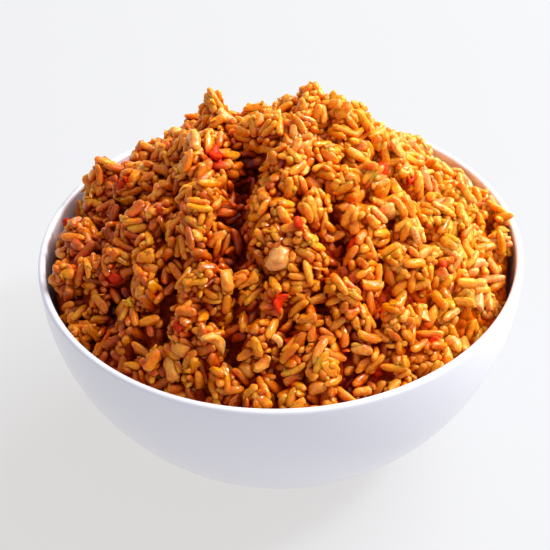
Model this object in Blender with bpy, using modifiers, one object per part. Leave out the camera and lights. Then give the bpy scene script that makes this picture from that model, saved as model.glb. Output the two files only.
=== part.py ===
"""A white bowl heaped with Mexican rice.

Two pieces: a turned bowl, and the heap of rice that fills it and stands above its rim.
The heap is one solid. Its core carries bumps the size of grains, and grains and bits of
tomato at their true size are fused on where they stand clear of the rest.

Lengths are in metres, +Z is up, and the side of the heap that is seen faces -Y.
The origin is the centre of the bowl's foot, on the surface that the bowl stands on.
"""

import math

import bmesh
import bpy
import numpy as np
from mathutils import Euler, Matrix, Vector
from mathutils.geometry import delaunay_2d_cdt

MM = 0.001
SEED = 7

# The bowl: an ordinary 6 inch (152 mm) bowl, and its other sizes in proportion.
RIM_RADIUS = 76.0 * MM
BOWL_HEIGHT = 72.0 * MM
WALL = 2.4 * MM
FLOOR_HEIGHT = 5.2 * MM
FOOT_RADIUS = 30.0 * MM
FOOT_HEIGHT = 1.5 * MM
FOOT_RING_WIDTH = 3.2 * MM
FOOT_CHAMFER = 0.4 * MM
FOOT_RECESS = 1.2 * MM
FOOT_SLOPE = math.radians(27)
TURN_STEPS = 56
GAP = 0.3 * MM

# The heap: a dome that starts a little under the rim, with the lumps that the hand left.
EDGE_DROP = 5.5 * MM
DOME_RISE = 48.0 * MM
HEAP_RADIUS = RIM_RADIUS - WALL
HEAP_EDGE = HEAP_RADIUS - 4 * GAP
EDGE_STEPS = TURN_STEPS
UNDER_EDGE = 60.0 * MM
CORE_SPACING = 2.75 * MM
CORE_JITTER = 0.22

# A cooked grain, and the bumps that stand for the grains which lie flat in the surface.
GRAIN_LENGTH = 7.4 * MM
GRAIN_WIDTH = 2.9 * MM
GRAIN_THICKNESS = 2.5 * MM
GRAIN_SIDES = 5
GRAIN_RINGS = 4
BUMP_HEIGHT = 2.6 * MM
FUSED_GRAINS = 150
GRAIN_LIFT = 1.5 * MM
MOST_TILT = math.radians(35)
TOMATO_SQUASH = (1.0, 0.75, 0.55)
GOLDEN_ANGLE = math.pi * (3 - math.sqrt(5))

# Lumps and hollows of the heap, in millimetres and degrees:
# centre x, centre y, half length, half width, turn of the length from +X, rise.
LUMPS = {
    "peak": (15, 18, 9, 11, 20, 14.0),
    "left_peak": (-21, 30, 4.5, 4, 0, 13.0),
    "left_back_slope": (-37, 33, 13, 8, -40, -3.5),
    "back_left_clump": (-58.5, 31.5, 10, 7, -52, 10.0),
    "back_left_shelf": (-47, 43, 7, 6, -45, 1.0),
    "left_edge_clump": (-67, 10, 6, 10, 8, 2.0),
    "back_left_hollow": (-46, 2, 14, 7, 20, -7.0),
    "left_hollow": (-36, -10, 22, 24, 0, -2.5),
    "left_rim_clump": (-69, -15, 5, 9, 10, 7.5),
    "left_pit": (-51, -29, 8, 7, 0, -6.0),
    "front_left_clump": (-31, -54, 10, 8, 20, 4.0),
    "fold_top": (-9, 30, 5, 16, 8, -7.0),
    "fold_foot": (-11, -20, 4.5, 28, -2, -8.5),
    "fold_pit": (-12, 0, 7, 10, 10, -4.5),
    "front_ridge": (4, -32, 9, 24, 0, 3.5),
    "mid_hollow": (20, -37, 11, 6, -20, -5.5),
    "front_gap": (22, -63, 6, 6, 0, -4.5),
    "right_shoulder": (48, 6, 18, 16, 30, 3.5),
    "right_back_slope": (27, 24, 6, 9, -20, -2.5),
    "right_back_clump": (45, 36, 12, 9, -40, 1.0),
    "back_right_edge": (54, 46, 14, 6, -50, 3.5),
    "right_back_edge": (70, 18, 14, 6, -76, 8.5),
    "right_edge": (70, 1, 9, 5, -88, 3.0),
    "right_front_pit": (54, -41, 9, 7, 40, -5.5),
}
# Bits of tomato: x, y and size, in millimetres.
TOMATO_BITS = (
    (1, -52, 8),
    (-38, -17, 6),
    (-21, 10, 7),
    (36, 0, 6),
    (48, 8, 5),
    (50, -33, 6),
    (45, -48, 5),
    (-31, -59, 6),
)

CLUMP_COUNT = 80
CLUMP_JITTER = 4.0 * MM
CLUMP_CURVE = 12.0 * MM
CLUMP_RISE = 1.7 * MM

COLLECTION = "Bowl of Mexican rice"
GLAZE = (0.86, 0.86, 0.88, 1.0)
RICE = (0.72, 0.33, 0.06, 1.0)


def clear_scene():
    """Removes whatever the startup file holds."""
    for thing in list(bpy.data.objects):
        bpy.data.objects.remove(thing)


def surface(name, colour, roughness):
    """A plain Principled material."""
    material = bpy.data.materials.new(name)
    material.use_nodes = True
    shader = material.node_tree.nodes["Principled BSDF"]
    shader.inputs["Base Color"].default_value = colour
    shader.inputs["Roughness"].default_value = roughness
    shader.inputs["Metallic"].default_value = 0.0
    return material


def new_object(name, mesh, collection):
    """An object for the mesh, in the collection."""
    thing = bpy.data.objects.new(name, mesh)
    collection.objects.link(thing)
    return thing


def mesh_from(builder, name):
    """The bmesh as a mesh, freed afterwards."""
    mesh = bpy.data.meshes.new(name)
    builder.to_mesh(mesh)
    builder.free()
    return mesh


# ---------------------------------------------------------------- the bowl


def bezier(start, leave, arrive, end, steps):
    """Points of a cubic curve that leaves start towards leave and comes into end from arrive."""
    points = []
    for i in range(steps + 1):
        t = i / steps
        s = 1 - t
        weights = (s**3, 3 * s * s * t, 3 * s * t * t, t**3)
        points.append(sum((w * p for w, p in zip(weights, (start, leave, arrive, end))), Vector((0, 0))))
    return points


def inner_wall():
    """The inside of the bowl from the edge of its flat floor up to the lip, as (radius, height)."""
    floor_edge = Vector((10.0 * MM, FLOOR_HEIGHT))
    lip_foot = Vector((HEAP_RADIUS, BOWL_HEIGHT - WALL / 2))
    along_floor = floor_edge + Vector((40.0 * MM, 0))
    down_wall = lip_foot - Vector((0, 33.0 * MM))
    return bezier(floor_edge, along_floor, down_wall, lip_foot, 8)


def outer_wall():
    """The outside of the bowl from the top of its foot up to the lip, as (radius, height)."""
    foot_top = Vector((FOOT_RADIUS, FOOT_HEIGHT))
    lip_foot = Vector((RIM_RADIUS, BOWL_HEIGHT - WALL / 2))
    along_belly = foot_top + 32.0 * MM * Vector((math.cos(FOOT_SLOPE), math.sin(FOOT_SLOPE)))
    down_wall = lip_foot - Vector((0, 30.0 * MM))
    return bezier(foot_top, along_belly, down_wall, lip_foot, 9)


def lip():
    """The round top edge, from the inner wall over to the outer wall, without its two ends."""
    centre = Vector((RIM_RADIUS - WALL / 2, BOWL_HEIGHT - WALL / 2))
    turns = [math.radians(a) for a in (135, 90, 45)]
    return [centre + WALL / 2 * Vector((math.cos(a), math.sin(a))) for a in turns]


def foot():
    """The foot ring and the hollow inside it, from the outer wall's foot in to the axis."""
    ring_inside = FOOT_RADIUS - FOOT_RING_WIDTH
    return [
        Vector((FOOT_RADIUS, FOOT_CHAMFER)),
        Vector((FOOT_RADIUS - FOOT_CHAMFER, 0)),
        Vector((ring_inside, 0)),
        Vector((ring_inside - FOOT_CHAMFER, FOOT_RECESS)),
        Vector((0, FOOT_RECESS)),
    ]


def turned(name, profile, collection):
    """A solid turned about the Z axis. The profile runs from the axis up the inside and down the outside."""
    builder = bmesh.new()
    points = [builder.verts.new((p.x, 0, p.y)) for p in profile]
    for a, b in zip(points, points[1:]):
        builder.edges.new((a, b))
    thing = new_object(name, mesh_from(builder, name), collection)
    screw = thing.modifiers.new("turn", "SCREW")
    screw.angle = 2 * math.pi
    screw.steps = screw.render_steps = TURN_STEPS
    screw.use_merge_vertices = True
    screw.merge_threshold = 0.00002
    screw.use_smooth_shade = True
    return thing


def make_bowl(collection, material):
    """The bowl, with its wall, round lip, belly and foot ring in one profile."""
    profile = [Vector((0, FLOOR_HEIGHT))] + inner_wall() + lip() + outer_wall()[::-1] + foot()
    bowl = turned("bowl", profile, collection)
    bowl.data.materials.append(material)
    return bowl


# ---------------------------------------------------------------- the heap


def lump(x, y, centre_x, centre_y, half_length, half_width, turn, rise):
    """Height of one lump: a bell curve that is longer one way than the other."""
    turn = math.radians(turn)
    dx, dy = x - centre_x * MM, y - centre_y * MM
    along = dx * math.cos(turn) + dy * math.sin(turn)
    across = dy * math.cos(turn) - dx * math.sin(turn)
    return rise * MM * np.exp(-((along / (half_length * MM)) ** 2) - (across / (half_width * MM)) ** 2)


def clumps(x, y):
    """Rounded clumps with creases between them: at each point the tallest of many caps."""
    draw = np.random.default_rng(SEED)
    radius = HEAP_RADIUS * np.sqrt((np.arange(CLUMP_COUNT) + 0.5) / CLUMP_COUNT)
    angle = np.arange(CLUMP_COUNT) * GOLDEN_ANGLE
    across = radius * np.cos(angle) + draw.uniform(-1, 1, CLUMP_COUNT) * CLUMP_JITTER
    along = radius * np.sin(angle) + draw.uniform(-1, 1, CLUMP_COUNT) * CLUMP_JITTER
    rises = draw.uniform(-1, 1, CLUMP_COUNT) * CLUMP_RISE
    best = np.full_like(x, -1.0)
    for cx, cy, rise in zip(across, along, rises):
        best = np.maximum(best, rise - ((x - cx) ** 2 + (y - cy) ** 2) / (2 * CLUMP_CURVE))
    return best


def heap_height(x, y):
    """Height of the heap's surface: a dome, its lumps, and clumps that fade out at the wall."""
    reach = np.hypot(x, y) / HEAP_RADIUS
    height = BOWL_HEIGHT - EDGE_DROP + DOME_RISE * (1 - reach**2)
    for shape in LUMPS.values():
        height = height + lump(x, y, *shape)
    return height + clumps(x, y) * np.clip((1.08 - reach) / 0.3, 0, 1)


def heap_normal(x, y):
    """The heap's outward direction at a point, from its slope."""
    step = 0.5 * MM
    near = heap_height(x + step * np.array([1, -1, 0, 0]), y + step * np.array([0, 0, 1, -1]))
    return Vector((near[1] - near[0], near[3] - near[2], 2 * step)).normalized()


def ring(radius):
    """Points around a circle, as rows of x and y."""
    angle = np.arange(EDGE_STEPS) * 2 * math.pi / EDGE_STEPS
    return radius * np.stack((np.cos(angle), np.sin(angle)), axis=-1)


def lattice(draw):
    """Points a grain's width apart all over the heap, a little out of line, and a ring of them at its edge."""
    rows = int(HEAP_RADIUS / CORE_SPACING) + 2
    across, down = np.meshgrid(np.arange(-rows, rows + 1), np.arange(-rows, rows + 1))
    plan = np.stack((across + 0.5 * (down % 2), down * math.sqrt(0.75)), axis=-1).reshape(-1, 2)
    plan = (plan + draw.uniform(-CORE_JITTER, CORE_JITTER, plan.shape)) * CORE_SPACING
    inside = np.hypot(*plan.T) < HEAP_EDGE - 0.6 * CORE_SPACING
    return np.concatenate((ring(HEAP_EDGE), plan[inside]))


def grain_ridges(count, edges, draw):
    """Raises pairs of neighbouring points, each pair a grain that lies in the surface, and sinks the rest."""
    near = [set() for _ in range(count)]
    for a, b in edges:
        near[a].add(b)
        near[b].add(a)
    heights = np.full(count, -BUMP_HEIGHT / 2)
    free = np.arange(count) >= EDGE_STEPS
    for a, b in draw.permutation(edges):
        if free[a] and free[b]:
            heights[[a, b]] = BUMP_HEIGHT * draw.uniform(0.2, 0.8, 2)
            free[list(near[a] | near[b])] = False
    return heights


def make_core(draw):
    """The heap without its loose grains: a bumpy top, and under it the inside of the bowl."""
    plan = lattice(draw)
    _, edges, tops, *_ = delaunay_2d_cdt([Vector(p) for p in plan], [], [], 0, 1e-9)
    x, y = plan.T
    z = heap_height(x, y) + grain_ridges(len(plan), np.array(edges), draw)
    points, faces = list(zip(x, y, z)), [tuple(face) for face in tops]
    above, step = 0, np.arange(EDGE_STEPS)
    for radius, height in under_side():
        below = len(points)
        points += [(px, py, height) for px, py in ring(radius)]
        after = (step + 1) % EDGE_STEPS
        faces += list(zip(above + step, below + step, below + after, above + after))
        above = below
    faces.append(tuple(above + step[::-1]))
    mesh = bpy.data.meshes.new("rice")
    mesh.from_pydata(points, [], faces)
    return mesh


def under_side():
    """The inside of the bowl from under the heap's edge down, a gap clear of the wall, as (radius, height)."""
    wall = inner_wall()
    rows = []
    for before, here, after in zip(wall, wall[1:], wall[2:]):
        way = (after - before).normalized()
        clear = here + GAP * Vector((-way.y, way.x))
        if clear.y < UNDER_EDGE:
            rows.append(clear)
    return rows[::-1] + [Vector((wall[0].x, FLOOR_HEIGHT + GAP))]


def grain_mesh(draw):
    """A grain along X: a long five-sided egg, blunt at its tips."""
    size = draw.uniform(0.85, 1.08)
    builder = bmesh.new()
    bmesh.ops.create_uvsphere(builder, u_segments=GRAIN_SIDES, v_segments=GRAIN_RINGS, radius=size / 2)
    for vert in builder.verts:
        tip = 2 * vert.co.z / size
        blunt = 1 + 0.25 * (1 - tip * tip) ** 2
        vert.co = (vert.co.z * GRAIN_LENGTH, vert.co.x * GRAIN_WIDTH * blunt, vert.co.y * GRAIN_THICKNESS * blunt)
    return builder


def tomato_mesh(size, draw):
    """A soft crooked bit of tomato: a small ball with its corners pushed in and out."""
    builder = bmesh.new()
    bmesh.ops.create_icosphere(builder, subdivisions=1, radius=size * MM / 2)
    for vert in builder.verts:
        vert.co = vert.co * Vector(TOMATO_SQUASH) * draw.uniform(0.8, 1.15)
    return builder


def lay_on_heap(builder, x, y, lift, turn, tilt):
    """Moves a loose piece onto the heap: turned in its surface, and tilted out of it."""
    normal = heap_normal(x, y)
    upright = normal.to_track_quat("Z", "Y").to_matrix().to_4x4()
    place = Vector((x, y, heap_height(np.array([x]), np.array([y]))[0])) + normal * lift
    builder.transform(Matrix.Translation(place) @ upright @ Euler((0, tilt, turn), "XYZ").to_matrix().to_4x4())


def crosses_wall(builder):
    """Whether a loose piece comes too near to the bowl's wall or its rim."""
    return any(v.co.z < BOWL_HEIGHT + GAP and v.co.xy.length > HEAP_EDGE - GAP for v in builder.verts)


def loose_pieces(draw):
    """The tomato bits, then grains spread evenly by the golden angle, without those that cross the wall."""
    for x, y, size in TOMATO_BITS:
        builder = tomato_mesh(size, draw)
        lay_on_heap(builder, x * MM, y * MM, BUMP_HEIGHT * 0.5, draw.uniform(0, math.pi), 0)
        yield builder
    for i in range(FUSED_GRAINS):
        radius = HEAP_EDGE * math.sqrt((i + 0.5) / FUSED_GRAINS)
        angle = i * GOLDEN_ANGLE
        builder = grain_mesh(draw)
        turn, tilt = draw.uniform(0, 2 * math.pi), draw.uniform(-MOST_TILT, MOST_TILT)
        lay_on_heap(builder, radius * math.cos(angle), radius * math.sin(angle), GRAIN_LIFT, turn, tilt)
        if crosses_wall(builder):
            builder.free()
        else:
            yield builder


def fuse(core, pieces):
    """Joins every object of the collection to the core with one Boolean, applied, and removes them."""
    union = core.modifiers.new("fuse", "BOOLEAN")
    union.operation, union.solver, union.operand_type = "UNION", "MANIFOLD", "COLLECTION"
    union.collection = pieces
    bpy.context.view_layer.objects.active = core
    bpy.ops.object.modifier_apply(modifier=union.name)
    for piece in list(pieces.objects):
        bpy.data.objects.remove(piece)
    bpy.data.collections.remove(pieces)


def drop_scraps(mesh):
    """Keeps the largest shell of the mesh: pieces that touch nothing and sealed hollows go."""
    builder = bmesh.new()
    builder.from_mesh(mesh)
    left, shells = set(builder.faces), []
    while left:
        shell, front = set(), [left.pop()]
        while front:
            face = front.pop()
            shell.add(face)
            near = {other for edge in face.edges for other in edge.link_faces} & left
            left -= near
            front.extend(near)
        shells.append(shell)
    shells.remove(max(shells, key=len))
    bmesh.ops.delete(builder, geom=[face for shell in shells for face in shell], context="FACES")
    builder.to_mesh(mesh)
    builder.free()


def make_rice(collection, material):
    """The heap: its bumpy core with loose grains and bits of tomato fused on."""
    draw = np.random.default_rng(SEED)
    core = new_object("rice", make_core(draw), collection)
    pieces = bpy.data.collections.new("loose_pieces")
    bpy.context.scene.collection.children.link(pieces)
    for builder in loose_pieces(draw):
        new_object("piece", mesh_from(builder, "piece"), pieces)
    fuse(core, pieces)
    drop_scraps(core.data)
    core.data.materials.clear()
    core.data.materials.append(material)


def main():
    clear_scene()
    parts = bpy.data.collections.new(COLLECTION)
    bpy.context.scene.collection.children.link(parts)
    make_bowl(parts, surface("glaze", GLAZE, 0.25))
    make_rice(parts, surface("rice", RICE, 0.5))


main()
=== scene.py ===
# %% [markdown]
# # A bowl of Mexican rice
# This lesson dresses a plain solid of a filled bowl so that it looks like the real food. The
# solid already has the true size and form: a turned bowl, and one closed lump for the heap of
# rice. Here the bowl gets a finer surface and a glaze, and the lump is replaced by a few thousand
# separate grains that are packed against each other, with diced onion and bits of tomato
# among them.

# %% Start from the solids
import math

import bpy
import numpy as np
from mathutils import Matrix, Vector


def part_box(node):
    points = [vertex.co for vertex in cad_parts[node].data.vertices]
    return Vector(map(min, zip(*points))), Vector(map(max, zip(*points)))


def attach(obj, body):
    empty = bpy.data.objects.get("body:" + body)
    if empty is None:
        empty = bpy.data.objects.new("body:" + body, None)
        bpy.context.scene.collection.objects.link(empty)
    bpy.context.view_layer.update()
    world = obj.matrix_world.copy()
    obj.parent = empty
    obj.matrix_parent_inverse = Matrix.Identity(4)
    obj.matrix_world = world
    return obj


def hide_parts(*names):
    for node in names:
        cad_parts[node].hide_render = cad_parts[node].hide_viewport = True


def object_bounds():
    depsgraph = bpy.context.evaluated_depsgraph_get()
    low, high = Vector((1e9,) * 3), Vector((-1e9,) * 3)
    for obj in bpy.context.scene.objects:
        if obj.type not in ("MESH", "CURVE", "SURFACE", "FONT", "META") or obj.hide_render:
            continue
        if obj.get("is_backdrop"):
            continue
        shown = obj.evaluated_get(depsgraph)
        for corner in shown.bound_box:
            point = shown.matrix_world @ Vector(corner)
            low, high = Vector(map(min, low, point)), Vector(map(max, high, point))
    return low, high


MM = 0.001
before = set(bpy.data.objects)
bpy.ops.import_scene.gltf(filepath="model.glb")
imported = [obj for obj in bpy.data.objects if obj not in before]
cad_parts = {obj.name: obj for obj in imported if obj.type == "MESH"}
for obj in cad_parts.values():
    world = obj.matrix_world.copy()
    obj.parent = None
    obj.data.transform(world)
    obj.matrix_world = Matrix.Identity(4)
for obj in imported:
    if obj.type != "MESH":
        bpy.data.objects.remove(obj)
solid_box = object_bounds()
RIM_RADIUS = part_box("bowl")[1].x
BOWL_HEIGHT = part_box("bowl")[1].z
print(f"rim radius {RIM_RADIUS / MM:.1f} mm, bowl height {BOWL_HEIGHT / MM:.1f} mm")

# %% [markdown]
# ## The camera
# The photograph looks down on the bowl from a little over half a metre away, at about 39 degrees,
# with a long lens. A long lens keeps the front of the bowl from looking swollen. The lens,
# the height and the tilt were found by matching the ellipse of the rim, and the slight roll
# by the rim's lean.

# %% Camera
IMAGE_SIDE = 550  # pixels, both ways
FOCAL_PIXELS = 1650
LOOK_DOWN = math.radians(38.79)
ROLL = math.radians(-1.81)
CAMERA_PLACE = Vector((-1.9, -410.4, 390.1)) * MM


def make_camera():
    """A camera that looks along +Y and down, turned about its own line of sight by the roll."""
    lens = bpy.data.cameras.new("camera")
    lens.sensor_width = 36
    lens.lens = FOCAL_PIXELS / IMAGE_SIDE * lens.sensor_width
    camera = bpy.data.objects.new("camera", lens)
    bpy.context.scene.collection.objects.link(camera)
    tilt = Matrix.Rotation(math.pi / 2 - LOOK_DOWN, 4, "X")
    camera.matrix_world = Matrix.Translation(CAMERA_PLACE) @ tilt @ Matrix.Rotation(ROLL, 4, "Z")
    return camera


bpy.context.scene.camera = make_camera()
print("lens", round(bpy.context.scene.camera.data.lens, 1), "mm")

# %% [markdown]
# ## Light
# The picture is bright and airy: a big window behind the bowl and to the right, in a pale room.
# One large soft lamp stands for the window. A small one beside it does little for the
# brightness, but its sharp reflection is what makes a grain look wet. A weak wide one above
# and a pale sky stand for the room. The view transform is Standard, because these colours
# are matched to a photograph by number, with a look that deepens the shadows a little.

# %% Lamps and sky
BOWL_MIDDLE = Vector((0, 0, 70)) * MM
# place and width in metres, power in watts, colour
LAMPS = {
    "window": ((1.04, 0.70, 1.15), 1.5, 34.0, (1.0, 0.99, 0.96)),
    "glint": ((1.00, -0.05, 1.15), 0.22, 8.5, (1.0, 0.99, 0.97)),
    "room": ((0.30, -0.25, 1.35), 1.0, 1.5, (1.0, 0.99, 0.98)),
}
SKY_COLOUR = (0.94, 0.95, 1.0)
SKY_STRENGTH = 0.455


def make_lamp(name, place, size, power, colour):
    """A square lamp that faces the middle of the bowl."""
    light = bpy.data.lights.new(name, "AREA")
    light.size, light.energy, light.color = size, power, colour
    lamp = bpy.data.objects.new(name, light)
    lamp.location = place
    lamp.rotation_euler = (BOWL_MIDDLE - Vector(place)).to_track_quat("-Z", "Y").to_euler()
    bpy.context.scene.collection.objects.link(lamp)
    print(f"lamp {name}: {power} W, {size} m across")


def make_sky(colour, strength):
    """An even sky."""
    sky = bpy.data.worlds.new("sky")
    sky.use_nodes = True
    background = sky.node_tree.nodes["Background"]
    background.inputs["Color"].default_value = (*colour, 1)
    background.inputs["Strength"].default_value = strength
    bpy.context.scene.world = sky


for name, values in LAMPS.items():
    make_lamp(name, *values)
make_sky(SKY_COLOUR, SKY_STRENGTH)
bpy.context.scene.view_settings.view_transform = "Standard"
bpy.context.scene.view_settings.look = "Medium High Contrast"

# %% [markdown]
# ## Small tools for meshes and materials
# Every piece below is a surface that numpy works out as whole arrays. These helpers turn the
# arrays into a mesh, and hang plain values on its points for the materials to read. A
# material is a tree of nodes, and the second set of helpers makes and links those.

# %% Mesh helpers


def add_mesh(name, points, faces, values=None):
    """
    An object from an array of points and a list of arrays of faces, each with its own number of
    corners. values maps an attribute's name to one number for each point.
    """
    points = np.asarray(points, np.float32).reshape(-1, 3)
    corners = np.concatenate([block.ravel() for block in faces]).astype(np.int32)
    sizes = np.concatenate([np.full(len(block), block.shape[1]) for block in faces])
    starts = np.concatenate(([0], np.cumsum(sizes)[:-1])).astype(np.int32)
    mesh = bpy.data.meshes.new(name)
    mesh.vertices.add(len(points))
    mesh.vertices.foreach_set("co", points.ravel())
    mesh.loops.add(len(corners))
    mesh.loops.foreach_set("vertex_index", corners)
    mesh.polygons.add(len(sizes))
    mesh.polygons.foreach_set("loop_start", starts)
    mesh.update(calc_edges=True)
    mesh.shade_smooth()
    for label, numbers in (values or {}).items():
        attribute = mesh.attributes.new(label, "FLOAT", "POINT")
        attribute.data.foreach_set("value", np.asarray(numbers, np.float32).ravel())
    thing = bpy.data.objects.new(name, mesh)
    bpy.context.scene.collection.objects.link(thing)
    print(f"{name}: {len(points)} points, {int((sizes - 2).sum())} triangles")
    return thing


def crease(thing, share):
    """Makes a share of a piece's edges sharp, so that it is partly soft and partly broken."""
    edges = len(thing.data.edges)
    sharp = thing.data.attributes.new("sharp_edge", "BOOLEAN", "EDGE")
    sharp.data.foreach_set("value", np.random.default_rng(edges).uniform(0, 1, edges) < share)
    return thing


def tube_faces(rings, around):
    """Quads between rings of points that close on themselves, ring after ring."""
    ring, step = np.meshgrid(np.arange(rings - 1), np.arange(around), indexing="ij")
    after = (step + 1) % around
    low, high = ring * around, (ring + 1) * around
    return np.stack((low + step, low + after, high + after, high + step), axis=-1).reshape(-1, 4)


def fan_faces(middle, first, around, outward):
    """Triangles from a middle point to a ring of points that starts at first."""
    step = np.arange(around)
    after = (step + 1) % around
    a, b = (step, after) if outward else (after, step)
    return np.stack((np.full(around, middle), first + a, first + b), axis=-1)


# %% Material helpers


def feed(tree, socket, value):
    """Links an output socket to an input socket, or sets the input to a plain value."""
    if isinstance(value, bpy.types.NodeSocket):
        tree.links.new(value, socket)
    else:
        socket.default_value = value


def node(tree, kind, settings=None, **inputs):
    """A node with its settings and its inputs, which are output sockets or plain values."""
    made = tree.nodes.new(kind)
    for label, value in (settings or {}).items():
        setattr(made, label, value)
    for label, value in inputs.items():
        feed(tree, made.inputs[label.replace("_", " ")], value)
    return made


def new_material(name, **values):
    """A Principled material with plain values on its shader, its node tree and its shader."""
    material = bpy.data.materials.new(name)
    material.use_nodes = True
    tree = material.node_tree
    shader = tree.nodes["Principled BSDF"]
    for label, value in values.items():
        shader.inputs[label.replace("_", " ")].default_value = value
    print("material", name)
    return material, tree, shader


def give(thing, material):
    """The piece takes the material, and rides on the one body."""
    thing.data.materials.clear()
    thing.data.materials.append(material)
    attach(thing, "root")
    return thing


# %% [markdown]
# ## The table
# A plain pale table top, so that nothing but the bowl catches the eye. It gives off a little
# light of its own. That keeps it as pale as it is in a bright picture, and its shadows light.

# %% Table


def make_table():
    """A flat sheet just under the foot, far larger than the view."""
    half = 3.0
    drop = -0.05 * MM
    corners = [(-half, -half, drop), (half, -half, drop), (half, half, drop), (-half, half, drop)]
    table = add_mesh("table", corners, [np.array([[0, 1, 2, 3]])])
    material, _, _ = new_material(
        "pale_table",
        Roughness=0.6,
        Base_Color=(0.160, 0.175, 0.20, 1),
        Emission_Color=(1.0, 0.965, 0.925, 1),
        Emission_Strength=0.53,
        Specular_IOR_Level=0.0,
    )
    table.data.materials.append(material)
    table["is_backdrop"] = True


make_table()

# %% [markdown]
# ## The bowl
# The real bowl is thin white porcelain, thrown or pressed as one turned shape. A turned shape is
# a profile spun about an axis, so the whole bowl is one function of two numbers: how far
# along the profile, and how far round. The profile repeats the solid's own measures, with
# many more points, so that the rim is truly round.

# %% Bowl profile
WALL = 2.4 * MM
FLOOR_HEIGHT = 5.2 * MM
FOOT_RADIUS = 30.0 * MM
FOOT_HEIGHT = 1.5 * MM
FOOT_RING_WIDTH = 3.2 * MM
FOOT_ROUNDING = 0.4 * MM
FOOT_RECESS = 1.2 * MM
FOOT_SLOPE = math.radians(27)
INNER_RADIUS = RIM_RADIUS - WALL
LIP_FOOT = BOWL_HEIGHT - WALL / 2
FLOOR_FLAT = 10.0 * MM


def cubic(start, leave, arrive, end, count):
    """Points of a cubic curve: four control points weighted by the Bernstein polynomials."""
    t = np.linspace(0, 1, count)[:, None]
    s = 1 - t
    start, leave, arrive, end = (np.array(p, float) for p in (start, leave, arrive, end))
    return s**3 * start + 3 * s * s * t * leave + 3 * s * t * t * arrive + t**3 * end


def arc(centre, radius, start, end, count):
    """Points of a circular arc, from start to end degrees."""
    turn = np.radians(np.linspace(start, end, count))[:, None]
    return np.array(centre) + radius * np.concatenate((np.cos(turn), np.sin(turn)), axis=1)


def inner_wall(count):
    """The inside of the bowl, from the edge of its flat floor up to the lip."""
    return cubic(
        (FLOOR_FLAT, FLOOR_HEIGHT),
        (FLOOR_FLAT + 40 * MM, FLOOR_HEIGHT),
        (INNER_RADIUS, LIP_FOOT - 33 * MM),
        (INNER_RADIUS, LIP_FOOT),
        count,
    )


def bowl_profile():
    """Radius and height along the bowl, from the floor over the lip to the underside."""
    belly = 32 * MM
    outer = cubic(
        (FOOT_RADIUS, FOOT_HEIGHT),
        (FOOT_RADIUS + belly * math.cos(FOOT_SLOPE), FOOT_HEIGHT + belly * math.sin(FOOT_SLOPE)),
        (RIM_RADIUS, LIP_FOOT - 30 * MM),
        (RIM_RADIUS, LIP_FOOT),
        44,
    )
    lip = arc((RIM_RADIUS - WALL / 2, LIP_FOOT), WALL / 2, 168, 12, 12)
    ring_inside = FOOT_RADIUS - FOOT_RING_WIDTH
    outside = arc((FOOT_RADIUS - FOOT_ROUNDING, FOOT_ROUNDING), FOOT_ROUNDING, 0, -90, 5)
    inside = arc((ring_inside + FOOT_ROUNDING, FOOT_ROUNDING), FOOT_ROUNDING, -90, -180, 5)
    hollow = np.array(((ring_inside, FOOT_RECESS), (ring_inside - 3 * MM, FOOT_RECESS)))
    return np.concatenate((inner_wall(36), lip, outer[::-1], outside, inside, hollow))


print("the profile has", len(bowl_profile()), "points")

# %% Bowl surface
BOWL_AROUND = 288


def turn(profile, around):
    """Spins radius and height about the Z axis: x and y are the radius times cosine and sine."""
    angle = np.arange(around) * 2 * np.pi / around
    radius, height = profile[:, :1], profile[:, 1:]
    return np.stack(
        (radius * np.cos(angle), radius * np.sin(angle), height + 0 * angle), axis=-1
    ).reshape(-1, 3)


def make_bowl():
    """The spun profile, closed by a middle point on the floor and one under the foot."""
    profile = bowl_profile()
    rings = len(profile)
    sides = turn(profile, BOWL_AROUND)
    points = np.concatenate((sides, [(0, 0, profile[0, 1]), (0, 0, profile[-1, 1])]))
    last = (rings - 1) * BOWL_AROUND
    faces = [
        tube_faces(rings, BOWL_AROUND)[:, ::-1],
        np.concatenate((
            fan_faces(len(points) - 2, 0, BOWL_AROUND, True),
            fan_faces(len(points) - 1, last, BOWL_AROUND, False),
        )),
    ]
    return add_mesh("glazed_bowl", points, faces)


bowl = make_bowl()

# %% [markdown]
# Porcelain glaze is a thin clear glass over a white body. A Principled shader with a low roughness
# and a coat gives that. Fired glaze is never quite even, so its roughness drifts a little.

# %% Glaze


def glaze_material():
    """White glaze, its roughness drifting by a slow noise."""
    material, tree, shader = new_material(
        "white_glaze", Base_Color=(0.83, 0.83, 0.90, 1), Coat_Weight=0.5, Coat_Roughness=0.08
    )
    place = node(tree, "ShaderNodeTexCoord").outputs["Object"]
    drift = node(tree, "ShaderNodeTexNoise", Vector=place, Scale=45)
    rough = node(
        tree, "ShaderNodeMapRange", Value=drift.outputs["Fac"], To_Min=0.29, To_Max=0.40
    )
    tree.links.new(rough.outputs["Result"], shader.inputs["Roughness"])
    return material


give(bowl, glaze_material())
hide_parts("bowl")

# %% [markdown]
# ## The form of the heap
# The heap is a dome that starts a little under the rim. Bell-shaped lumps and hollows are added to
# it, as the spoon left them, and then rounded clumps with creases between. All of it is one
# function that gives a height for any place, the same one that the solid was made from.

# %% Heap height
SEED = 7
GOLDEN_ANGLE = math.pi * (3 - math.sqrt(5))
EDGE_DROP = 5.5 * MM
DOME_RISE = 48.0 * MM
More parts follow.
